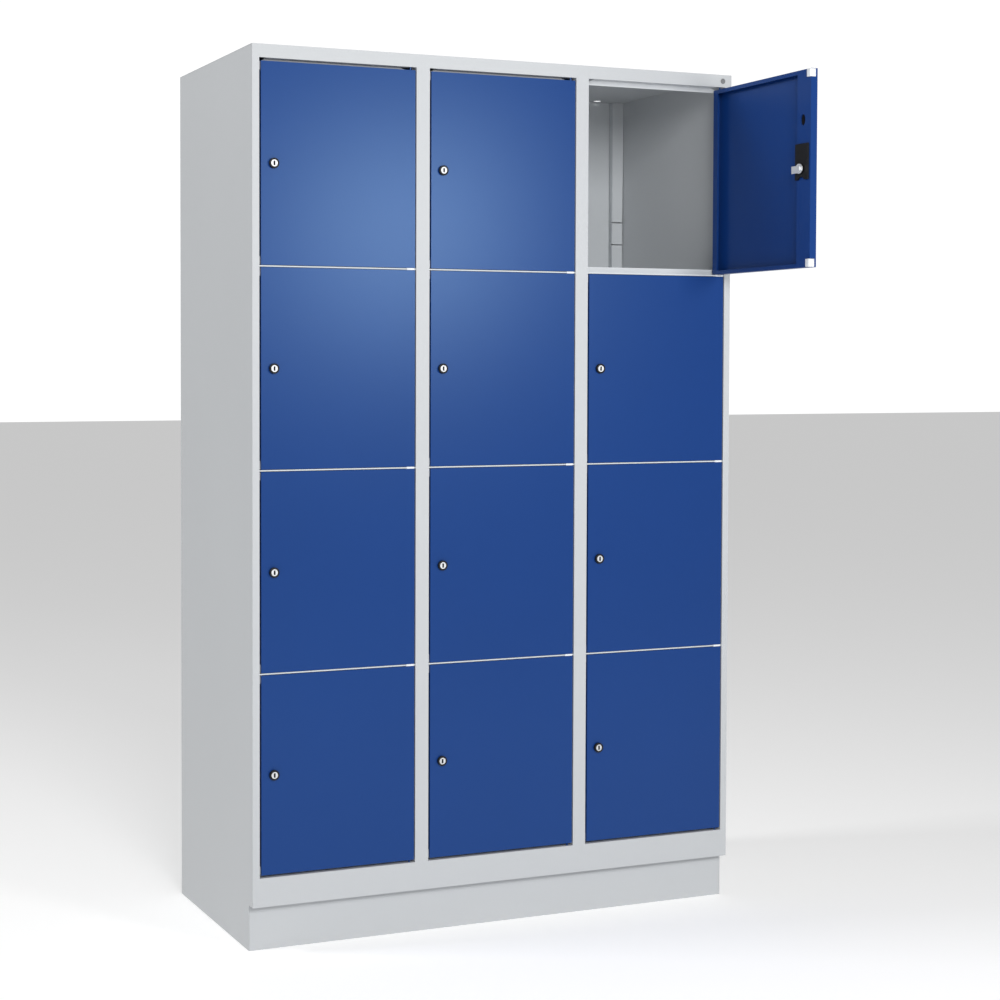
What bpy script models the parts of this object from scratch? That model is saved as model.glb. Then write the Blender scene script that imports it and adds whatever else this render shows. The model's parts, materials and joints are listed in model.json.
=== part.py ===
"""Coin operated locker: a welded sheet-steel cabinet on a recessed plinth, with three columns of four
compartments. Every compartment has an inset door on two hinge pins at its right-hand side, and a key lock with a
turning latch at its left-hand side. The upper right door stands open at a right angle; the other doors are closed
and unlocked.

Lengths are in metres and +Z is up. Sizes below are measured from the cabinet's lower left front corner: X to the
right along the front, Y back into the cabinet from the face of the front frame, Z up from the floor. The origin of
the finished model is the centre of its bounding box at floor level.
"""

import math

import bmesh
import bpy
from mathutils import Matrix, Vector

# ---------------------------------------------------------------- driving dimensions
WIDTH = 1.200  # whole cabinet
DEPTH = 0.500
HEIGHT = 1.950
COLUMNS = 3
ROWS = 4
COLUMN_PITCH = 0.400
ROW_PITCH = 0.4375

SHEET = 0.0012  # steel sheet
GAP = 0.0003  # joint clearance between two sheets

PLINTH_HEIGHT = 0.100
PLINTH_SETBACK = 0.025
FLANGE = 0.018  # width of a turned-in edge

STILE = 0.016  # half the face width of a frame upright
OPENING_TOP = 1.921
OPENING_BOTTOM = 0.163
FRAME_DEPTH = 0.022  # from the frame's face to the front of its stops
LATCH_STOP = 0.012  # width of the upright stop at the latch side
HINGE_STOP = 0.016  # and at the hinge side
HEAD_STOP_BOTTOM = 1.910
HEAD_NOTCH_LEFT, HEAD_NOTCH_RIGHT, HEAD_NOTCH_DEPTH = 0.018, 0.026, 0.0065
FIRST_LEVEL = 0.1667  # lower limit of the bottom row
SHELF_RISE = 0.015  # from a level up to the top of its shelf
SHELF_DROP = 0.007  # from a level down to the lower edge of its stop
NOSE = 0.0014  # half the thickness of the strip between two doors
NOSE_FRONT = 0.0015

DOOR_LEFT = 0.020  # from the column's left limit
DOOR_RIGHT = 0.381
DOOR_DEPTH = 0.017
DOOR_GAP = 0.0025  # from a level to the door's edge
LATCH_FLANGE = 0.047
HINGE_FLANGE = 0.017
END_FLANGE = 0.009
PIVOT_X = 0.372
PIVOT_Y = 0.0065
PIN_R = 0.0020
PIN_HOLE_R = 0.0024

LOCK_X = 0.0485  # axis of the lock, from the column's left limit
COLLAR_R = 0.0110
COLLAR_LENGTH = 0.0060
BARREL_R = 0.0090
BORE_R = 0.0063
FACE_R = 0.0088  # turning disc with the keyhole
SPINDLE_R = 0.0060
CASE_LEFT, CASE_RIGHT = 0.0250, 0.0690
CASE_BELOW, CASE_ABOVE = 0.0240, 0.0550
CASE_DEPTH = 0.0034
LATCH_FRONT = 0.0241
LATCH_THICKNESS = 0.0026
LATCH_REACH = 0.0250
LATCH_R = 0.0110

TOP_HOLE_X, TOP_HOLE_Y, TOP_HOLE_R = 1.118, 0.475, 0.010  # fixing holes

CHANNEL_WIDTH = 0.032
CHANNEL_DEPTH = 0.018
INNER_BACK = 0.4970  # back edge of everything inside

OPEN_COLUMN, OPEN_ROW = 2, 3  # the door that stands open, counted from the left and from the bottom
OPEN_ANGLE = 91.0

BUFFER = 0.0175  # plastic buffers on the open door's free corners
BUFFER_PROUD, BUFFER_BACK = 0.0012, 0.0036
# how far the open door and its buffers stand in front of the hinge axis
DOOR_REACH = (PIVOT_X - DOOR_LEFT + BUFFER_PROUD) * math.sin(
    math.radians(OPEN_ANGLE)
) - (DOOR_DEPTH - PIVOT_Y + BUFFER_BACK) * math.cos(math.radians(OPEN_ANGLE))
ORIGIN = Vector((WIDTH / 2, (DEPTH + PIVOT_Y - DOOR_REACH) / 2, 0.0))

COLUMN_NAMES = ("left", "middle", "right")

# ---------------------------------------------------------------- scene
for old in list(bpy.data.objects):
    bpy.data.objects.remove(old, do_unlink=True)

parts = bpy.data.collections.new("coin_operated_locker")
cutters = bpy.data.collections.new("cutters")
cutters.hide_render = True
bpy.context.scene.collection.children.link(parts)
bpy.context.scene.collection.children.link(cutters)


def material(name, color, roughness, metallic=0.0):
    m = bpy.data.materials.new(name)
    m.use_nodes = True
    shader = m.node_tree.nodes["Principled BSDF"]
    shader.inputs["Base Color"].default_value = (*color, 1.0)
    shader.inputs["Roughness"].default_value = roughness
    shader.inputs["Metallic"].default_value = metallic
    return m


GREY = (0.62, 0.65, 0.66)
BLUE = (0.022, 0.068, 0.255)


def level(row):
    """Height of the limit between a row and the one below it, rows counted from the bottom."""
    return FIRST_LEVEL + ROW_PITCH * row


# ---------------------------------------------------------------- modelling helpers
def mesh_object(name, bm, collection=cutters):
    mesh = bpy.data.meshes.new(name)
    bm.to_mesh(mesh)
    bm.free()
    obj = bpy.data.objects.new(name, mesh)
    collection.objects.link(obj)
    if collection is cutters:
        obj.hide_render = True
        obj.display_type = "WIRE"
    return obj


def box(name, lo, hi):
    """A box between two corners."""
    lo, hi = Vector(lo), Vector(hi)
    bm = bmesh.new()
    bmesh.ops.create_cube(bm, size=1.0)
    bmesh.ops.scale(bm, vec=hi - lo, verts=bm.verts)
    bmesh.ops.translate(bm, vec=(lo + hi) / 2, verts=bm.verts)
    return mesh_object(name, bm)


def rod(name, start, direction, radius, length, sides=16, turn=0.0):
    """A cylinder from a point along a row axis."""
    d = Vector(direction)
    bm = bmesh.new()
    bmesh.ops.create_cone(
        bm, cap_ends=True, segments=sides, radius1=radius, radius2=radius, depth=length
    )
    bmesh.ops.rotate(bm, matrix=Matrix.Rotation(turn, 3, "Z"), verts=bm.verts)
    bmesh.ops.translate(bm, vec=(0, 0, length / 2), verts=bm.verts)
    bmesh.ops.rotate(
        bm, matrix=d.to_track_quat("Z", "Y").to_matrix(), verts=bm.verts
    )
    bmesh.ops.translate(bm, vec=start, verts=bm.verts)
    return mesh_object(name, bm)


def shaped(name, blank, steps):
    """The mesh of a blank after a list of (operation, tool) Booleans."""
    for index, (operation, tool) in enumerate(steps):
        modifier = blank.modifiers.new(f"{operation.lower()}_{index}", "BOOLEAN")
        modifier.operation = operation
        modifier.solver = "EXACT"
        modifier.object = tool
    bpy.context.view_layer.update()
    graph = bpy.context.evaluated_depsgraph_get()
    mesh = bpy.data.meshes.new_from_object(blank.evaluated_get(graph))
    mesh.name = name
    bm = bmesh.new()
    bm.from_mesh(mesh)
    bmesh.ops.remove_doubles(bm, verts=bm.verts, dist=1e-6)
    bmesh.ops.dissolve_limit(
        bm, angle_limit=math.radians(0.5), verts=bm.verts, edges=bm.edges
    )
    bm.to_mesh(mesh)
    bm.free()
    return mesh


def place(name, mesh, mat, pivot=None, parent=None):
    """An object for a mesh made in cabinet coordinates. Its origin goes to the pivot, if there is one."""
    obj = bpy.data.objects.new(name, mesh)
    parts.objects.link(obj)
    if not mesh.materials:
        mesh.materials.append(mat)
    obj.location = -ORIGIN if pivot is None else Vector(pivot) - ORIGIN
    mesh.shade_smooth()
    mesh.set_sharp_from_angle(angle=math.radians(35))
    if parent is not None:
        obj.parent = parent
        obj.location = Vector(pivot or (0, 0, 0))
    return obj


CUT, JOIN = "DIFFERENCE", "UNION"
FAR = 3.0

# ---------------------------------------------------------------- cabinet: sides, top, back
side_blank = box(
    "side_blank", (0, NOSE_FRONT, 0), (FLANGE, DEPTH, HEIGHT - SHEET - GAP)
)
side_mesh = shaped(
    "side_panel",
    side_blank,
    [
        (CUT, box("side_hollow", (SHEET, -1, SHEET), (1, DEPTH - SHEET, FAR))),
        (CUT, box("side_toe_recess", (-1, -1, -1), (1, PLINTH_SETBACK, PLINTH_HEIGHT))),
        (
            CUT,
            box("side_foot_end", (SHEET, -1, -1), (1, PLINTH_SETBACK + SHEET + GAP, 1)),
        ),
    ],
)
right_mesh = side_mesh.copy()
right_mesh.transform(
    Matrix.Translation((WIDTH, 0, 0)) @ Matrix.Diagonal((-1, 1, 1, 1))
)
right_mesh.flip_normals()
place("side_panel_left", side_mesh, material("side_left_paint", GREY, 0.45))
place("side_panel_right", right_mesh, material("side_right_paint", GREY, 0.45))

top_mesh = shaped(
    "top_panel",
    box("top_blank", (0, NOSE_FRONT, HEIGHT - SHEET), (WIDTH, DEPTH, HEIGHT)),
    [
        (
            CUT,
            rod(
                f"top_hole_{i}",
                (x, TOP_HOLE_Y, HEIGHT - 0.01),
                (0, 0, 1),
                TOP_HOLE_R,
                0.02,
                32,
            ),
        )
        for i, x in enumerate((WIDTH - TOP_HOLE_X, TOP_HOLE_X))
    ],
)
place("top_panel", top_mesh, material("top_paint", GREY, 0.45))

BACK_LO = (SHEET + GAP, DEPTH - 2 * SHEET - GAP, PLINTH_HEIGHT + GAP)
BACK_HI = (WIDTH - SHEET - GAP, DEPTH - SHEET - GAP, HEIGHT - SHEET - GAP)
back_mesh = shaped("back_panel", box("back_blank", BACK_LO, BACK_HI), [])
place("back_panel", back_mesh, material("back_paint", GREY, 0.5))

# ---------------------------------------------------------------- plinth boards, with turned-in edges
for name, y0, inward in (
    ("plinth_front", PLINTH_SETBACK, 1),
    ("plinth_rear", DEPTH - SHEET - GAP, -1),
):
    y1, deep = y0 + inward * SHEET, y0 + inward * FLANGE
    blank = box(
        f"{name}_blank",
        (FLANGE + GAP if inward < 0 else SHEET + GAP, min(y0, deep), 0),
        (
            WIDTH - (FLANGE + GAP if inward < 0 else SHEET + GAP),
            max(y0, deep),
            PLINTH_HEIGHT - GAP,
        ),
    )
    hollow = box(
        f"{name}_hollow",
        (-1, min(y1, y1 + inward), SHEET),
        (FAR, max(y1, y1 + inward), PLINTH_HEIGHT - GAP - SHEET),
    )
    steps = [(CUT, hollow)]
    if inward > 0:
        # the lower edge is notched round the side panels' turned-in edges
        steps += [
            (CUT, box(f"{name}_end_{i}", (x, y1, -1), (x + FLANGE + 0.001, 1, 1)))
            for i, x in enumerate((-0.0007, WIDTH - FLANGE - 0.0003))
        ]
    place(name, shaped(name, blank, steps), material(f"{name}_paint", GREY, 0.45))

# ---------------------------------------------------------------- front frame
frame_blank = box(
    "frame_blank", (0, 0, PLINTH_HEIGHT), (WIDTH, FRAME_DEPTH + SHEET, HEIGHT)
)
steps = []
for c in range(COLUMNS):
    x0, x1 = c * COLUMN_PITCH, (c + 1) * COLUMN_PITCH
    # the opening in the face, and the narrower one between the stops
    steps.append(
        (
            CUT,
            box(
                f"opening_{c}",
                (x0 + STILE, -1, OPENING_BOTTOM),
                (x1 - STILE, FRAME_DEPTH, OPENING_TOP),
            ),
        )
    )
    steps.append(
        (
            CUT,
            box(
                f"stop_opening_{c}",
                (x0 + STILE + LATCH_STOP, FRAME_DEPTH - 0.001, -1),
                (x1 - STILE - HINGE_STOP, 1, HEAD_STOP_BOTTOM),
            ),
        )
    )
# the folded profiles are hollow and open at the back
steps += [
    (
        CUT,
        box("stile_hollow_l", (-1, SHEET, -1), (STILE - SHEET, 1, FAR)),
    ),
    (
        CUT,
        box("stile_hollow_r", (WIDTH - STILE + SHEET, SHEET, -1), (FAR, 1, FAR)),
    ),
    (CUT, box("head_hollow", (-1, SHEET, OPENING_TOP + SHEET), (FAR, 1, FAR))),
    (CUT, box("rail_hollow", (-1, SHEET, -1), (FAR, 1, OPENING_BOTTOM - SHEET))),
    (
        CUT,
        box(
            "stop_foot",
            (-1, FRAME_DEPTH - 0.0001, -1),
            (FAR, 1, FIRST_LEVEL + SHELF_RISE + GAP),
        ),
    ),
]
for c in range(1, COLUMNS):
    x = c * COLUMN_PITCH
    steps.append(
        (
            CUT,
            box(
                f"mullion_hollow_{c}",
                (x - STILE + SHEET, SHEET, -1),
                (x + STILE - SHEET, 1, FAR),
            ),
        )
    )
for c in range(COLUMNS):
    x0 = c * COLUMN_PITCH
    # open corner of the fold above the latch side, and the holes for the end hinge pins
    steps.append(
        (
            CUT,
            box(
                f"corner_relief_{c}",
                (x0 + STILE + 0.001, SHEET + 0.0004, OPENING_TOP - 0.002),
                (x0 + STILE + 0.016, FRAME_DEPTH - 0.0005, OPENING_TOP + 0.004),
            ),
        )
    )
    for end, xa, xb in (
        ("left", x0 + STILE + 0.0010, x0 + STILE + HEAD_NOTCH_LEFT),
        (
            "right",
            x0 + COLUMN_PITCH - STILE - 0.0010,
            x0 + COLUMN_PITCH - STILE - HEAD_NOTCH_RIGHT,
        ),
    ):
        notch = box(
            f"head_notch_{end}_{c}",
            (min(xa, xb), FRAME_DEPTH - 0.0015, OPENING_TOP - HEAD_NOTCH_DEPTH),
            (max(xa, xb), 1, OPENING_TOP + SHEET + 0.0006),
        )
        for v in notch.data.vertices:
            if abs(v.co.x - xb) < 1e-5 and v.co.z < OPENING_TOP - 0.001:
                v.co.z = OPENING_TOP - 0.0010
        steps.append((CUT, notch))
    for end, z in (("head", OPENING_TOP), ("rail", OPENING_BOTTOM - SHEET)):
        steps.append(
            (
                CUT,
                rod(
                    f"pin_hole_{end}_{c}",
                    (x0 + PIVOT_X, PIVOT_Y, z - 0.003),
                    (0, 0, 1),
                    PIN_HOLE_R,
                    0.0075,
                    12,
                ),
            )
        )
frame_mesh = shaped("front_frame", frame_blank, steps)
place("front_frame", frame_mesh, material("frame_paint", GREY, 0.45))

# ---------------------------------------------------------------- floor of the bottom row
base_top = FIRST_LEVEL + SHELF_RISE
base_mesh = shaped(
    "base_panel",
    box(
        "base_blank",
        (SHEET + GAP, FRAME_DEPTH + GAP, OPENING_BOTTOM + GAP),
        (WIDTH - SHEET - GAP, INNER_BACK, base_top),
    ),
    [
        (
            CUT,
            box(
                "base_hollow",
                (-1, FRAME_DEPTH + GAP + SHEET, -1),
                (FAR, INNER_BACK - SHEET, base_top - SHEET),
            ),
        )
    ],
)
place("base_panel", base_mesh, material("base_paint", GREY, 0.5))

# ---------------------------------------------------------------- partitions between the columns
for c, name in ((1, "partition_left"), (2, "partition_right")):
    x = c * COLUMN_PITCH
    mesh = shaped(
        name,
        box(
            f"{name}_blank",
            (x - SHEET / 2, FRAME_DEPTH + SHEET + GAP, base_top + GAP),
            (x + SHEET / 2, INNER_BACK, HEIGHT - SHEET - GAP),
        ),
        [],
    )
    place(name, mesh, material(f"{name}_paint", GREY, 0.5))

# ---------------------------------------------------------------- slotted channel up each column's rear corner
CHANNEL_SLOTS = (0.103, 0.160)  # above a level
CHANNEL_SLIT = 0.0026


def wall_right(c):
    """Inner face of the wall to the right of a column."""
    x = (c + 1) * COLUMN_PITCH
    return x - (SHEET if c == COLUMNS - 1 else SHEET / 2)


def wall_left(c):
    x = c * COLUMN_PITCH
    return x + (SHEET if c == 0 else SHEET / 2)


for c in range(COLUMNS):
    name = f"rear_channel_{COLUMN_NAMES[c]}"
    x1 = wall_right(c) - GAP
    x0, y0 = x1 - CHANNEL_WIDTH, INNER_BACK - CHANNEL_DEPTH
    steps = [
        (
            CUT,
            box(f"{name}_hollow", (x0 + SHEET, y0 + SHEET, -1), (FAR, FAR, FAR)),
        )
    ]
    for row in range(ROWS):
        for i, up in enumerate(CHANNEL_SLOTS):
            z = level(row) + up
            steps.append(
                (
                    CUT,
                    box(
                        f"{name}_slot_{row}_{i}",
                        (x0 - 0.01, y0 - 0.01, z - CHANNEL_SLIT / 2),
                        (x1 - 0.0025, y0 + 0.006, z + CHANNEL_SLIT / 2),
                    ),
                )
            )
    mesh = shaped(
        name,
        box(
            f"{name}_blank",
            (x0, y0, base_top + GAP),
            (x1, INNER_BACK, HEIGHT - SHEET - GAP),
        ),
        steps,
    )
    place(name, mesh, material(f"{name}_paint", GREY, 0.5))

# ---------------------------------------------------------------- shelves with their stop and nose strip
for c in range(COLUMNS):
    x0 = c * COLUMN_PITCH
    left, right = wall_left(c) + GAP, wall_right(c) - GAP
    stop_l = x0 + STILE + LATCH_STOP + GAP
    stop_r = x0 + COLUMN_PITCH - STILE - HINGE_STOP - GAP
    for row in range(1, ROWS):
        z = level(row)
        name = f"shelf_{COLUMN_NAMES[c]}_{ROWS - row}"
        plate_front = FRAME_DEPTH + SHEET + GAP
        steps = [
            # hollow under the plate, behind the stop
            (
                CUT,
                box(
                    f"{name}_under",
                    (-1, FRAME_DEPTH + SHEET, z - 1),
                    (FAR, FAR, z + SHELF_RISE - SHEET),
                ),
            ),
            # in front of the stop, above and below the nose
            (
                CUT,
                box(f"{name}_over", (-1, -1, z + NOSE), (FAR, FRAME_DEPTH, z + 1)),
            ),
            (
                CUT,
                box(f"{name}_below", (-1, -1, z - 1), (FAR, FRAME_DEPTH, z - NOSE)),
            ),
            # round the frame's uprights
            (
                CUT,
                box(f"{name}_l", (-1, FRAME_DEPTH - GAP, z - 1), (stop_l, plate_front, z + 1)),
            ),
            (
                CUT,
                box(f"{name}_r", (stop_r, FRAME_DEPTH - GAP, z - 1), (FAR, plate_front, z + 1)),
            ),
            (
                CUT,
                box(f"{name}_nose_l", (-1, -1, z - 1), (x0 + STILE + GAP, FRAME_DEPTH, z + 1)),
            ),
            (
                CUT,
                box(
                    f"{name}_nose_r",
                    (x0 + COLUMN_PITCH - STILE - GAP, -1, z - 1),
                    (FAR, FRAME_DEPTH, z + 1),
                ),
            ),
            # notch for the rear channel, and the hole for the hinge pins
            (
                CUT,
                box(
                    f"{name}_notch",
                    (right - CHANNEL_WIDTH - GAP, INNER_BACK - CHANNEL_DEPTH - GAP, z - 1),
                    (FAR, FAR, z + 1),
                ),
            ),
            (
                CUT,
                rod(
                    f"{name}_pin_hole",
                    (x0 + PIVOT_X, PIVOT_Y, z - 0.005),
                    (0, 0, 1),
                    PIN_HOLE_R,
                    0.010,
                    12,
                ),
            ),
        ]
        mesh = shaped(
            name,
            box(
                f"{name}_blank",
                (left, NOSE_FRONT, z - SHELF_DROP),
                (right, INNER_BACK, z + SHELF_RISE),
            ),
            steps,
        )
        place(name, mesh, material(f"{name}_paint", GREY, 0.5))


# ---------------------------------------------------------------- doors, locks and latches
# These meshes are made about the hinge axis at the door's lower edge, closed.
DOOR_HEIGHT = ROW_PITCH - 2 * DOOR_GAP
DX0, DX1 = DOOR_LEFT - PIVOT_X, DOOR_RIGHT - PIVOT_X
DY0, DY1 = -PIVOT_Y, DOOR_DEPTH - PIVOT_Y
LX, LZ = LOCK_X - PIVOT_X, DOOR_HEIGHT / 2
EYE_X, EYE_Z = 0.0270, LZ + 0.107  # oval hole in the latch flange


def door_mesh(name, top_pin, bottom_pin):
    hollow = box(
        f"{name}_hollow",
        (DX0 + SHEET, DY0 + SHEET, SHEET),
        (DX1 - SHEET, DY1 - SHEET, DOOR_HEIGHT - SHEET),
    )
    window = box(
        f"{name}_window",
        (DX0 + LATCH_FLANGE, DY1 - SHEET - 0.001, END_FLANGE),
        (DX1 - HINGE_FLANGE, DY1 + 0.01, DOOR_HEIGHT - END_FLANGE),
    )
    inside = 0.0006
    eye = rod(f"{name}_eye", (DX0 + EYE_X, DY1 - 0.006, EYE_Z), (0, 1, 0), 0.0130, 0.02)
    for v in eye.data.vertices:
        v.co.x = DX0 + EYE_X + (v.co.x - DX0 - EYE_X) * 0.60
    return shaped(
        name,
        box(f"{name}_blank", (DX0, DY0, 0), (DX1, DY1, DOOR_HEIGHT)),
        [
            (CUT, window),
            (CUT, hollow),
            (CUT, rod(f"{name}_lock_hole", (LX, DY0 - 0.01, LZ), (0, 1, 0), BARREL_R + GAP, 0.05)),
            (CUT, eye),
            (
                JOIN,
                rod(
                    f"{name}_pin_top",
                    (0, 0, DOOR_HEIGHT - inside),
                    (0, 0, 1),
                    PIN_R,
                    top_pin + inside,
                    10,
                ),
            ),
            (
                JOIN,
                rod(
                    f"{name}_pin_bottom",
                    (0, 0, inside),
                    (0, 0, -1),
                    PIN_R,
                    bottom_pin + inside,
                    10,
                ),
            ),
        ],
    )


short_pin = DOOR_GAP - 0.0003
door_top_mesh = door_mesh(
    "door_top_row", OPENING_TOP + SHEET + 0.001 - (level(ROWS) - DOOR_GAP), short_pin
)
door_mid_mesh = door_mesh("door_middle_row", short_pin, short_pin)
door_low_mesh = door_mesh(
    "door_bottom_row", short_pin, FIRST_LEVEL + DOOR_GAP - OPENING_BOTTOM + SHEET + 0.001
)

# Lock housing: a collar in front of the door, a barrel through it, and a flat case behind it.
case_y0 = DY1 + GAP
case_y1 = case_y0 + CASE_DEPTH
boss_end = LATCH_FRONT - PIVOT_Y - GAP
cx0, cx1 = CASE_LEFT - PIVOT_X, CASE_RIGHT - PIVOT_X
lock_mesh = shaped(
    "lock_body",
    box("case_blank", (cx0, case_y0, LZ - CASE_BELOW), (cx1, case_y1, LZ + CASE_ABOVE)),
    [
        (JOIN, rod("case_boss", (LX, case_y0 + 0.001, LZ), (0, 1, 0), 0.0085, boss_end - case_y0 - 0.001)),
        (JOIN, rod("barrel", (LX, DY0 - GAP - 0.002, LZ), (0, 1, 0), BARREL_R, case_y0 + 0.0015 - DY0 + GAP + 0.002, 16)),
        (
            JOIN,
            rod(
                "collar",
                (LX, DY0 - GAP, LZ),
                (0, -1, 0),
                COLLAR_R,
                COLLAR_LENGTH - GAP,
                24,
            ),
        ),
        (CUT, rod("bore", (LX, DY0 - 0.02, LZ), (0, 1, 0), BORE_R, 0.06)),
        (
            CUT,
            rod(
                "face_recess",
                (LX, DY0 - COLLAR_LENGTH + 0.0016, LZ),
                (0, -1, 0),
                FACE_R + GAP,
                0.01,
                24,
            ),
        ),
        # the case is arched at its foot
        (CUT, rod("case_foot", (LX, case_y0 - 0.0015, LZ - CASE_BELOW - 0.006), (0, 1, 0), 0.0125, 0.02)),
    ],
)

# Latch: keyhole disc, spindle and rear latch plate, turning together.
hub = rod("latch_hub", (LX, LATCH_FRONT - PIVOT_Y, LZ), (0, 1, 0), LATCH_R, LATCH_THICKNESS, 16)
latch_mesh = shaped(
    "latch",
    hub,
    [
        (
            JOIN,
            box(
                "latch_arm",
                (LX, LATCH_FRONT - PIVOT_Y, LZ - LATCH_R * 0.86),
                (
                    LX + LATCH_REACH,
                    LATCH_FRONT - PIVOT_Y + LATCH_THICKNESS,
                    LZ + LATCH_R * 0.62,
                ),
            ),
        ),
        (
            JOIN,
            rod(
                "spindle",
                (LX, DY0 - COLLAR_LENGTH + 0.0006, LZ),
                (0, 1, 0),
                SPINDLE_R,
                LATCH_FRONT - PIVOT_Y + 0.001 - DY0 + COLLAR_LENGTH - 0.0006,
            ),
        ),
        (
            JOIN,
            rod("latch_face", (LX, DY0 - COLLAR_LENGTH + 0.0002, LZ), (0, 1, 0), FACE_R, 0.0011, 24),
        ),
        (
            CUT,
            box(
                "keyhole",
                (LX - 0.0013, DY0 - COLLAR_LENGTH - 0.01, LZ - 0.0045),
                (LX + 0.0013, DY0 - COLLAR_LENGTH + 0.0075, LZ + 0.0045),
            ),
        ),
        (
            JOIN,
            rod(
                "latch_nut",
                (LX, LATCH_FRONT - PIVOT_Y + LATCH_THICKNESS - 0.0005, LZ),
                (0, 1, 0),
                0.0075,
                0.0035,
                6,
            ),
        ),
    ],
)

# The latch turns about the lock's own axis.
latch_mesh.transform(Matrix.Translation((-LX, 0, -LZ)))

# Plastic buffer hooked over each free corner of the open door.
buffer_mesh = shaped(
    "buffer",
    box(
        "buffer_blank",
        (DX0 - BUFFER_PROUD, DY0 + 0.0055, 0.0008),
        (DX0 + 0.0105, DY1 + BUFFER_BACK, 0.0008 + BUFFER),
    ),
    [(CUT, box("buffer_inner", (DX0 - GAP, -1, -1), (1, DY1 + GAP, 1)))],
)

for c in range(COLUMNS):
    for row in range(ROWS):
        tag = f"{COLUMN_NAMES[c]}_{ROWS - row}"
        hinge = bpy.data.objects.new(f"hinge_axis_{tag}", None)
        parts.objects.link(hinge)
        hinge.location = (
            Vector((c * COLUMN_PITCH + PIVOT_X, PIVOT_Y, level(row) + DOOR_GAP)) - ORIGIN
        )
        is_open = (c, row) == (OPEN_COLUMN, OPEN_ROW)
        if is_open:
            hinge.rotation_euler = (0, 0, math.radians(OPEN_ANGLE))
        mesh = {0: door_low_mesh, ROWS - 1: door_top_mesh}.get(row, door_mid_mesh)
        door = bpy.data.objects.new(f"door_{tag}", mesh)
        lock = bpy.data.objects.new(f"lock_body_{tag}", lock_mesh)
        latch = bpy.data.objects.new(f"latch_{tag}", latch_mesh)
        latch.location = (LX, 0, LZ)
        made = [door, lock, latch]
        if is_open:
            upper = bpy.data.objects.new(f"buffer_upper_{tag}", buffer_mesh)
            lower = bpy.data.objects.new(f"buffer_lower_{tag}", buffer_mesh)
            upper.location = (0, 0, DOOR_HEIGHT - BUFFER - 0.0016)
            made += [upper, lower]
        for obj in made:
            parts.objects.link(obj)
            obj.parent = hinge

for mesh, mat in (
    (door_top_mesh, material("door_paint", BLUE, 0.4)),
    (door_mid_mesh, bpy.data.materials["door_paint"]),
    (door_low_mesh, bpy.data.materials["door_paint"]),
    (lock_mesh, material("lock_black", (0.012, 0.012, 0.013), 0.45)),
    (latch_mesh, material("latch_metal", (0.75, 0.75, 0.76), 0.28, 1.0)),
    (buffer_mesh, material("buffer_plastic", (0.80, 0.80, 0.82), 0.5)),
):
    mesh.materials.clear()
    mesh.materials.append(mat)
    mesh.shade_smooth()
    mesh.set_sharp_from_angle(angle=math.radians(35))
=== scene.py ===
"""Visual model of the coin operated locker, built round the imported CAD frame."""

import json
import math

import bmesh
import bpy
from mathutils import Matrix, Vector

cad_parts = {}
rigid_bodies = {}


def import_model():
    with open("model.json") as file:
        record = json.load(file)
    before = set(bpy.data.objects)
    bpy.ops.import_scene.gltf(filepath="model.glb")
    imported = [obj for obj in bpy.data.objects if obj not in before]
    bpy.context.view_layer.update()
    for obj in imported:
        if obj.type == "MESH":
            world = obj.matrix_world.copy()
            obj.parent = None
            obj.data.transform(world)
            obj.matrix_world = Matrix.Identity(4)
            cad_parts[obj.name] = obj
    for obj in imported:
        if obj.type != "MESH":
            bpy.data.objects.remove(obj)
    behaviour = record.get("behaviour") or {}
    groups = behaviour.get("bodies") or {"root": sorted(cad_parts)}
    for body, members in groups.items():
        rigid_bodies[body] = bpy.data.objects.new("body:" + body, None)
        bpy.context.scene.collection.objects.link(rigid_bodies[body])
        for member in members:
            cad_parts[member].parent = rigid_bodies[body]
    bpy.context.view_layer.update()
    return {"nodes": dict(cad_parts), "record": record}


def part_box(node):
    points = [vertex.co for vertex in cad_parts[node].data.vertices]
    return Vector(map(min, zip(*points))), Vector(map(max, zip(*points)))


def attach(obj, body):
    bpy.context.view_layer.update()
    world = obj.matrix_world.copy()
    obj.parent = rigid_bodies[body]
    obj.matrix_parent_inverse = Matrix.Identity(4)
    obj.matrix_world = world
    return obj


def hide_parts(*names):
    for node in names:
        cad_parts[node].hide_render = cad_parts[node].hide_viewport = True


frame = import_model()
nodes, record = frame["nodes"], frame["record"]
joints = {j["name"]: j for j in record["behaviour"]["joints"]}

COLUMNS = ("left", "middle", "right")
ROWS = (1, 2, 3, 4)
OPEN = "right_1"
TAGS = [f"{c}_{r}" for c in COLUMNS for r in ROWS]

scene = bpy.context.scene
scene.view_settings.view_transform = "Standard"
scene.view_settings.look = "None"

# ---------------------------------------------------------------- camera
camera = bpy.data.objects.new("camera", bpy.data.cameras.new("camera"))
scene.collection.objects.link(camera)
scene.camera = camera
camera.data.sensor_width = 36.0
camera.data.lens = 66.603
camera.data.shift_x = 0.20
camera.data.shift_y = -0.07
camera.data.clip_end = 100.0
camera.location = (-1.9440, -3.7835, 1.2582)
camera.rotation_euler = (math.radians(90.0 - 1.870), 0.0, math.radians(-21.404))


# ---------------------------------------------------------------- materials
def new_material(name):
    m = bpy.data.materials.new(name)
    m.use_nodes = True
    return m, m.node_tree.nodes, m.node_tree.links, m.node_tree.nodes["Principled BSDF"]


def noise(n, links, coord, scale, detail=2.0, rough=0.5, stretch=(1, 1, 1)):
    mapping = n.new("ShaderNodeMapping")
    mapping.inputs["Scale"].default_value = stretch
    tex = n.new("ShaderNodeTexNoise")
    tex.inputs["Scale"].default_value = scale
    tex.inputs["Detail"].default_value = detail
    tex.inputs["Roughness"].default_value = rough
    links.new(coord.outputs["Object"], mapping.inputs["Vector"])
    links.new(mapping.outputs["Vector"], tex.inputs["Vector"])
    return tex.outputs["Fac"]


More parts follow.
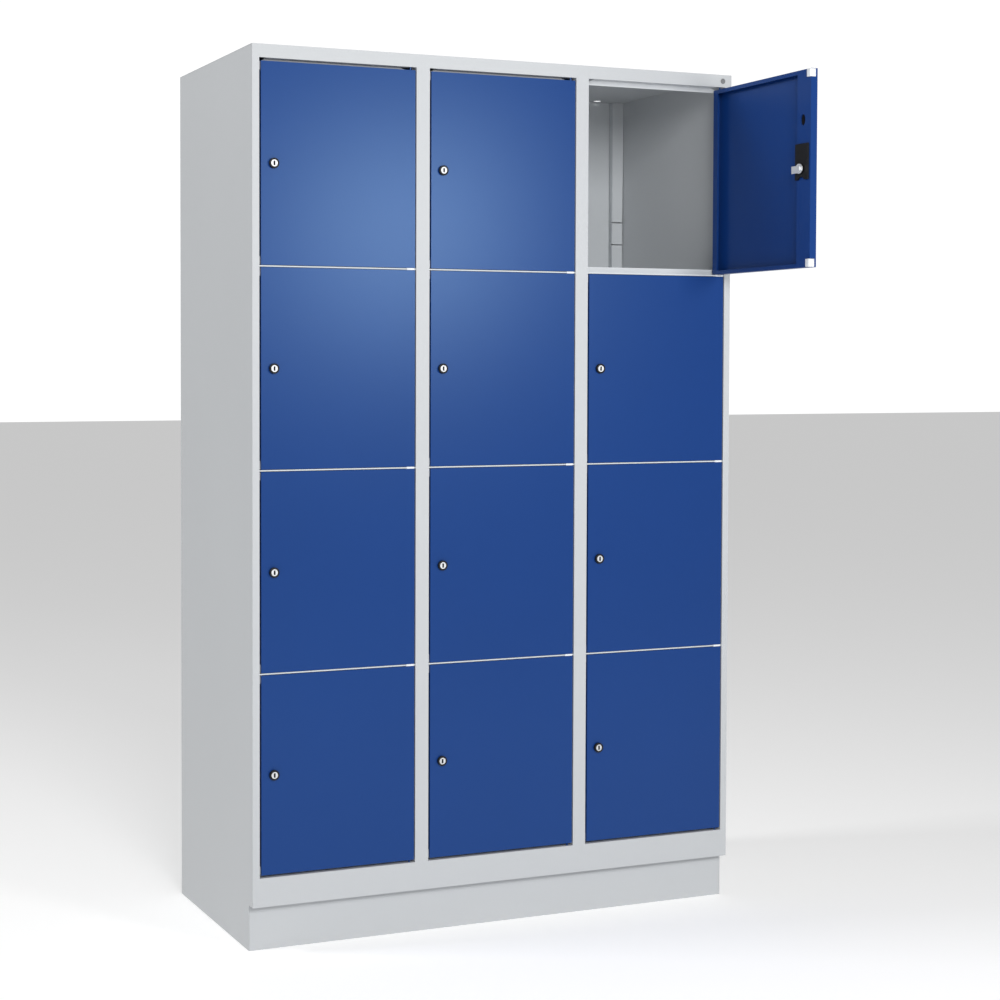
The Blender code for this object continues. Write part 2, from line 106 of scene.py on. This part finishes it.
def ranged(n, links, value, lo, hi, from_lo=0.3, from_hi=0.7):
    node = n.new("ShaderNodeMapRange")
    node.inputs["From Min"].default_value = from_lo
    node.inputs["From Max"].default_value = from_hi
    node.inputs["To Min"].default_value = lo
    node.inputs["To Max"].default_value = hi
    links.new(value, node.inputs["Value"])
    return node.outputs["Result"]


def blend_colors(n, links, factor, a, b):
    mix = n.new("ShaderNodeMix")
    mix.data_type = "RGBA"
    mix.inputs["A"].default_value = (*a, 1.0)
    mix.inputs["B"].default_value = (*b, 1.0)
    links.new(factor, mix.inputs["Factor"])
    return mix.outputs["Result"]


def bump(n, links, height, strength, distance, normal=None):
    node = n.new("ShaderNodeBump")
    node.inputs["Strength"].default_value = strength
    node.inputs["Distance"].default_value = distance
    links.new(height, node.inputs["Height"])
    if normal is not None:
        links.new(normal, node.inputs["Normal"])
    return node.outputs["Normal"]


def powder_coat(
    name, base, spread=0.035, roughness=0.42, vary=0.05, level=0.5, peel=0.22, tint=None
):
    """Sprayed and baked paint on sheet steel: orange peel, a finer grain, and the sheet's own slow waviness."""
    m, n, l, shader = new_material(name)
    coord = n.new("ShaderNodeTexCoord")
    broad = noise(n, l, coord, 2.3, 3.0, 0.55)
    fine = noise(n, l, coord, 850.0, 2.0, 0.5)
    grain = noise(n, l, coord, 3600.0, 1.0, 0.5)
    sheet = noise(n, l, coord, 3.1, 1.0, 0.4, (1.0, 1.0, 0.6))
    factor = ranged(n, l, broad, 0.0, 1.0, 0.25, 0.75)
    a = tuple(c * (1 - spread) for c in base)
    b = tuple(c * (1 + spread) for c in base)
    mixed = blend_colors(n, l, factor, a, b)
    # grain of the pigment, which keeps the colour from being flat close up
    speck = n.new("ShaderNodeMix")
    speck.data_type = "RGBA"
    speck.blend_type = "MULTIPLY"
    speck.inputs["Factor"].default_value = 1.0
    l.new(mixed, speck.inputs["A"])
    grey = n.new("ShaderNodeCombineColor")
    tone = ranged(n, l, grain, 0.965, 1.035)
    for channel in ("Red", "Green", "Blue"):
        l.new(tone, grey.inputs[channel])
    l.new(grey.outputs["Color"], speck.inputs["B"])
    l.new(speck.outputs["Result"], shader.inputs["Base Color"])
    l.new(
        ranged(n, l, fine, roughness - vary, roughness + vary),
        shader.inputs["Roughness"],
    )
    wavy = bump(n, l, sheet, 0.10, 0.0020)
    peeled = bump(n, l, fine, peel, 0.00012, wavy)
    l.new(bump(n, l, grain, 0.10, 0.00004, peeled), shader.inputs["Normal"])
    shader.inputs["Specular IOR Level"].default_value = level
    if tint is not None:
        shader.inputs["Specular Tint"].default_value = (*tint, 1.0)
    return m


def moulded(name, base, roughness, level=0.5, grain=420.0, strength=0.15):
    """Injection-moulded plastic with a spark-eroded grain."""
    m, n, l, shader = new_material(name)
    coord = n.new("ShaderNodeTexCoord")
    texture = noise(n, l, coord, grain * 4, 2.0, 0.6)
    cloud = noise(n, l, coord, 60.0, 2.0, 0.5)
    a = tuple(c * 0.93 for c in base)
    b = tuple(min(1.0, c * 1.07) for c in base)
    l.new(
        blend_colors(n, l, ranged(n, l, cloud, 0.0, 1.0), a, b),
        shader.inputs["Base Color"],
    )
    l.new(
        ranged(n, l, texture, roughness - 0.06, roughness + 0.08),
        shader.inputs["Roughness"],
    )
    l.new(bump(n, l, texture, strength, 0.00008), shader.inputs["Normal"])
    shader.inputs["Specular IOR Level"].default_value = level
    return m


def plated(name, base, roughness):
    """Nickel-plated metal, brushed before plating."""
    m, n, l, shader = new_material(name)
    coord = n.new("ShaderNodeTexCoord")
    brushed = noise(n, l, coord, 700.0, 3.0, 0.6, (1.0, 1.0, 0.08))
    cloud = noise(n, l, coord, 90.0, 2.0, 0.5)
    a = tuple(c * 0.90 for c in base)
    l.new(
        blend_colors(n, l, ranged(n, l, cloud, 0.0, 1.0), a, base),
        shader.inputs["Base Color"],
    )
    l.new(
        ranged(n, l, brushed, roughness - 0.07, roughness + 0.10),
        shader.inputs["Roughness"],
    )
    l.new(bump(n, l, brushed, 0.10, 0.00005), shader.inputs["Normal"])
    shader.inputs["Metallic"].default_value = 1.0
    return m


CABINET = powder_coat(
    "cabinet_grey_coat", (0.545, 0.563, 0.580), 0.012, 0.46, 0.05, 0.35
)
INSIDE = powder_coat(
    "interior_grey_coat", (0.655, 0.680, 0.700), 0.015, 0.50, 0.05, 0.30
)
DOOR = powder_coat(
    "door_blue_coat",
    (0.0060, 0.039, 0.195),
    0.03,
    0.31,
    0.03,
    0.50,
    tint=(0.42, 0.66, 0.92),
)
BLACK = moulded("lock_black_plastic", (0.008, 0.008, 0.009), 0.42, 0.25)
NICKEL = plated("nickel_plate", (0.78, 0.79, 0.80), 0.56)
# near-black stand-in for the shade inside keyways and oval eye holes: painted shade
SHADOW = moulded("keyway_eye_painted_shade", (0.004, 0.004, 0.005), 0.60, 0.10)
WHITE = moulded("bush_white_plastic", (0.80, 0.82, 0.84), 0.42)
BUFFER = moulded("buffer_plastic", (0.78, 0.80, 0.82), 0.45)
BADGE = moulded("badge_plastic", (0.20, 0.205, 0.215), 0.45, 0.3)


def dress(node, material):
    obj = nodes[node]
    obj.data.materials.clear()
    obj.data.materials.append(material)
    return obj


INTERIOR = ("partition_", "rear_channel_", "shelf_", "base_panel", "back_panel")
for name in nodes:
    if name.startswith("door_"):
        dress(name, DOOR)
    elif name.startswith("lock_"):
        dress(name, BLACK)
    elif name.startswith("latch_"):
        dress(name, NICKEL)
    elif name.startswith("buffer_"):
        dress(name, BUFFER)
    elif name.startswith(INTERIOR):
        dress(name, INSIDE)
    else:
        dress(name, CABINET)


def soften(obj, width, segments=2):
    """Rounds the sharp edges a little, as a bending press and paint leave them."""
    planar = obj.modifiers.new("planar", "DECIMATE")
    planar.decimate_type = "DISSOLVE"
    planar.angle_limit = math.radians(1.0)
    bevel = obj.modifiers.new("bevel", "BEVEL")
    bevel.width = width
    bevel.segments = segments
    bevel.limit_method = "ANGLE"
    bevel.angle_limit = math.radians(40)
    bevel.use_clamp_overlap = True
    bevel.harden_normals = False
    normals = obj.modifiers.new("normals", "WEIGHTED_NORMAL")
    normals.keep_sharp = False
    normals.weight = 100


for name, obj in nodes.items():
    if name.startswith(("side_", "top_", "plinth_", "front_")):
        soften(obj, 0.0005)
    elif name.startswith("door_"):
        soften(obj, 0.00055, 3)
    elif name.startswith(("shelf_", "base_", "rear_channel_")):
        soften(obj, 0.0004)
    elif name.startswith("lock_"):
        soften(obj, 0.0006, 3)
    elif name.startswith("latch_"):
        soften(obj, 0.00025)


# ---------------------------------------------------------------- small pieces
collection = bpy.data.collections.new("locker_pieces")
scene.collection.children.link(collection)
scratch = bpy.data.collections.new("scratch")
scene.collection.children.link(scratch)


def block(lo, hi):
    lo, hi = Vector(lo), Vector(hi)
    bm = bmesh.new()
    bmesh.ops.create_cube(bm, size=1.0)
    bmesh.ops.scale(bm, vec=hi - lo, verts=bm.verts)
    bmesh.ops.translate(bm, vec=(lo + hi) / 2, verts=bm.verts)
    return bm


def loose(name, bm):
    mesh = bpy.data.meshes.new(name)
    bm.to_mesh(mesh)
    bm.free()
    obj = bpy.data.objects.new(name, mesh)
    scratch.objects.link(obj)
    return obj


def carved(name, blank, cutters, bevel, segments=3):
    """The mesh of a blank cut by the cutters, with its edges rounded."""
    for i, cutter in enumerate(cutters):
        modifier = blank.modifiers.new(f"cut_{i}", "BOOLEAN")
        modifier.solver = "EXACT"
        modifier.object = cutter
    rounding = blank.modifiers.new("round", "BEVEL")
    rounding.width = bevel
    rounding.segments = segments
    rounding.limit_method = "ANGLE"
    rounding.angle_limit = math.radians(35)
    bpy.context.view_layer.update()
    graph = bpy.context.evaluated_depsgraph_get()
    mesh = bpy.data.meshes.new_from_object(blank.evaluated_get(graph))
    mesh.name = name
    for obj in [blank, *cutters]:
        bpy.data.objects.remove(obj, do_unlink=True)
    mesh.shade_smooth()
    mesh.set_sharp_from_angle(angle=math.radians(50))
    return mesh


def piece(name, mesh, material, matrix, body):
    obj = bpy.data.objects.new(name, mesh)
    if not mesh.materials:
        mesh.materials.append(material)
    collection.objects.link(obj)
    obj.matrix_world = matrix
    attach(obj, body)
    return obj


def cylinder(radius, z0, z1, sides=32, at=(0, 0)):
    bm = bmesh.new()
    bmesh.ops.create_cone(
        bm, cap_ends=True, segments=sides, radius1=radius, radius2=radius, depth=z1 - z0
    )
    bmesh.ops.translate(bm, vec=(at[0], at[1], (z0 + z1) / 2), verts=bm.verts)
    return bm


def turned(name, profile, sides=40):
    """A closed turned mesh round +Z from (radius, height) points, the first and last on the axis."""
    bm = bmesh.new()
    rings = []
    for r, z in profile:
        if r <= 1e-7:
            rings.append([bm.verts.new((0, 0, z))])
        else:
            rings.append(
                [
                    bm.verts.new(
                        (
                            r * math.cos(2 * math.pi * k / sides),
                            r * math.sin(2 * math.pi * k / sides),
                            z,
                        )
                    )
                    for k in range(sides)
                ]
            )
    for a, b in zip(rings, rings[1:]):
        for k in range(sides):
            j = (k + 1) % sides
            if len(a) == 1:
                bm.faces.new((a[0], b[k], b[j]))
            elif len(b) == 1:
                bm.faces.new((a[j], a[k], b[0]))
            else:
                bm.faces.new((a[j], a[k], b[k], b[j]))
    bmesh.ops.recalc_face_normals(bm, faces=bm.faces)
    mesh = bpy.data.meshes.new(name)
    bm.to_mesh(mesh)
    bm.free()
    mesh.shade_smooth()
    mesh.set_sharp_from_angle(angle=math.radians(50))
    return mesh


# Hinge bush: a white clip round the strip between two doors, with a hole for the hinge pins. Its origin is on the
# hinge axis at the middle of the gap.
SHEET = 0.0012
PIN_HOLE = 0.0025
bush_mesh = carved(
    "hinge_bush",
    loose("bush_blank", block((-0.0105, -0.0062, -0.00215), (0.0078, 0.0078, 0.00215))),
    [
        loose("bush_slot", block((-0.03, -0.00515, -0.00155), (0.03, 0.03, 0.00155))),
        loose("bush_hole", cylinder(PIN_HOLE, -0.01, 0.01)),
    ],
    0.0004,
)

for c in COLUMNS:
    for above, below in ((1, 2), (2, 3), (3, 4)):
        hinge = Vector(joints[f"door_{c}_{below}_hinge"]["pos_m"])
        level = (
            Vector(joints[f"door_{c}_{above}_hinge"]["pos_m"]).z + hinge.z
        ) / 2  # middle of the gap
        piece(
            f"hinge_bush_{c}_{above}",
            bush_mesh,
            WHITE,
            Matrix.Translation((hinge.x, hinge.y, level)),
            "cabinet",
        )

# Corner buffers: a plastic cap hooked over each free corner of every door.
DOOR_HALF = 0.21625
REACH = 0.352
PIVOT_Y = 0.0065
DOOR_DEPTH = 0.017
CAP = 0.0175
buffer_mesh = carved(
    "corner_buffer",
    loose(
        "buffer_blank",
        block(
            (-REACH - 0.0012, -PIVOT_Y + 0.0055, -CAP / 2),
            (-REACH + 0.0105, DOOR_DEPTH - PIVOT_Y + 0.0036, CAP / 2),
        ),
    ),
    [
        loose(
            "buffer_inner",
            block((-REACH - 0.0003, -1, -1), (1, DOOR_DEPTH - PIVOT_Y + 0.0003, 1)),
        ),
        loose(
            "buffer_recess",
            block(
                (-REACH - 0.01, (DOOR_DEPTH + 0.0055) / 2 - PIVOT_Y - 0.003, -0.004),
                (-REACH - 0.0007, (DOOR_DEPTH + 0.0055) / 2 - PIVOT_Y + 0.003, 0.004),
            ),
        ),
    ],
    0.00035,
)
open_turn = math.radians(-joints[f"door_{OPEN}_hinge"]["range_deg"][0])
for tag in TAGS:
    hinge = Vector(joints[f"door_{tag}_hinge"]["pos_m"])
    turn = Matrix.Rotation(open_turn if tag == OPEN else 0.0, 4, "Z")
    for end, up in (("upper", 1), ("lower", -1)):
        cap = piece(
            f"corner_buffer_{end}_{tag}",
            buffer_mesh,
            BUFFER,
            Matrix.Translation(hinge)
            @ turn
            @ Matrix.Translation((0, 0, up * (DOOR_HALF - 0.0008 - CAP / 2))),
            f"door_{tag}",
        )
        if tag == OPEN:
            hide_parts(f"buffer_{end}_{tag}")

# Painted shade: a black oval insert in each lock's turning disc stands in for the shade inside its keyway, and a
# black disc in the oval hole of each door's latch flange stands in for the shade seen through that hole.
keyway_mesh = carved(
    "keyway",
    loose("keyway_blank", block((-0.0022, 0.0, -0.0049), (0.0022, 0.0030, 0.0049))),
    [
        loose("keyway_slot", block((-0.0006, -0.001, -0.0036), (0.0006, 0.0016, 0.0036))),
    ],
    0.0009,
    4,
)
lip_mesh = turned(
    "collar_lip",
    [
        (0.0074, 0.0004),
        (0.0074, 0.0002),
        (0.0078, 0.0),
        (0.0103, 0.0),
        (0.0108, 0.0005),
        (0.0108, 0.0012),
        (0.0093, 0.0012),
        (0.0093, 0.0004),
        (0.0074, 0.0004),
    ],
)
# black disc set in each door's oval eye hole: painted shade, standing in for the shadow seen through the hole
eye_shade_mesh = turned(
    "eye_hole_shade",
    [
        (0.0, 0.0),
        (0.0100, 0.0),
        (0.0124, 0.0004),
        (0.0124, 0.0012),
        (0.0100, 0.0016),
        (0.0088, 0.0012),
        (0.0, 0.0012),
    ],
)
for tag in TAGS:
    turn = Matrix.Rotation(open_turn if tag == OPEN else 0.0, 4, "Z")
    latch = joints[f"latch_{tag}_turn"]
    axis = Matrix.Translation(Vector(latch["pos_m"])) @ turn
    # the disc's face stands 5.8 mm in front of the door's
    # black keyway insert: painted shade in the keyhole
    piece(
        f"keyway_{tag}",
        keyway_mesh,
        SHADOW,
        axis @ Matrix.Translation((0, -PIVOT_Y - 0.0058 - 0.0002, 0)),
        f"latch_{tag}",
    )
    piece(
        f"collar_lip_{tag}",
        lip_mesh,
        BLACK,
        axis
        @ Matrix.Translation((0, -PIVOT_Y - 0.0058 - 0.0005, 0))
        @ Matrix.Rotation(math.radians(-90), 4, "X"),
        f"door_{tag}",
    )
    hinge = Vector(joints[f"door_{tag}_hinge"]["pos_m"])
    # painted shade in the oval eye hole
    piece(
        f"eye_hole_shade_{tag}",
        eye_shade_mesh,
        SHADOW,
        Matrix.Translation(hinge)
        @ turn
        @ Matrix.Translation(
            (-REACH + 0.0270, DOOR_DEPTH - PIVOT_Y - SHEET - 0.0022, 0.107)
        )
        @ Matrix.Diagonal((0.60, 1.0, 1.0, 1.0))
        @ Matrix.Rotation(math.radians(-90), 4, "X"),
        f"door_{tag}",
    )

# Blank round badge at the right end of the header.
front_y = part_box("front_frame")[0].y
badge_mesh = turned(
    "badge",
    [
        (0.0, 0.0002),
        (0.0058, 0.0002),
        (0.0062, 0.0006),
        (0.0062, 0.0010),
        (0.0058, 0.0013),
        (0.0052, 0.0013),
        (0.0049, 0.0010),
        (0.0030, 0.0012),
        (0.0, 0.0013),
    ],
)
piece(
    "badge",
    badge_mesh,
    BADGE,
    Matrix.Translation((0.576, front_y, 1.935)) @ Matrix.Rotation(math.radians(90), 4, "X"),
    "cabinet",
)

for obj in list(scratch.objects):
    bpy.data.objects.remove(obj, do_unlink=True)
bpy.data.collections.remove(scratch)

# ---------------------------------------------------------------- floor and light
floor_bm = bmesh.new()
bmesh.ops.create_grid(floor_bm, x_segments=1, y_segments=1, size=40.0)
floor_mesh = bpy.data.meshes.new("floor")
floor_bm.to_mesh(floor_mesh)
floor_bm.free()
floor = bpy.data.objects.new("floor", floor_mesh)
scene.collection.objects.link(floor)
floor_material, n, l, shader = new_material("floor_white")
shader.inputs["Base Color"].default_value = (0.86, 0.86, 0.86, 1.0)
shader.inputs["Roughness"].default_value = 0.9
shader.inputs["Specular IOR Level"].default_value = 0.1
shader.inputs["Emission Color"].default_value = (1.0, 1.0, 1.0, 1.0)
shader.inputs["Emission Strength"].default_value = 0.40
floor_mesh.materials.append(floor_material)

world = bpy.data.worlds.new("studio")
scene.world = world
world.use_nodes = True
n, l = world.node_tree.nodes, world.node_tree.links
background = n["Background"]
background.inputs["Color"].default_value = (1.0, 1.0, 1.0, 1.0)
background.inputs["Strength"].default_value = 0.20
backdrop = n.new("ShaderNodeBackground")
backdrop.inputs["Color"].default_value = (1.0, 1.0, 1.0, 1.0)
backdrop.inputs["Strength"].default_value = 1.05
path = n.new("ShaderNodeLightPath")
mix = n.new("ShaderNodeMixShader")
l.new(path.outputs["Is Camera Ray"], mix.inputs["Fac"])
l.new(background.outputs["Background"], mix.inputs[1])
l.new(backdrop.outputs["Background"], mix.inputs[2])
l.new(mix.outputs["Shader"], n["World Output"].inputs["Surface"])


def softbox(name, at, aim, size, power, color=(1.0, 1.0, 1.0), height=None):
    data = bpy.data.lights.new(name, "AREA")
    data.shape = "RECTANGLE"
    data.size = size
    data.size_y = height or size
    data.energy = power
    data.color = color
    light = bpy.data.objects.new(name, data)
    light.location = at
    direction = Vector(aim) - Vector(at)
    light.rotation_euler = direction.to_track_quat("-Z", "Y").to_euler()
    light.visible_camera = False
    scene.collection.objects.link(light)
    return light


softbox("key", (1.18, -3.28, 1.84), (-0.24, -0.08, 1.58), 0.62, 32.0)
softbox("fill_left", (-1.10, -4.4, 2.8), (0.45, 0.15, 1.64), 1.7, 112.0)
softbox("side", (-4.2, 1.0, 3.4), (-0.6, 0.1, 1.7), 1.0, 74.0)
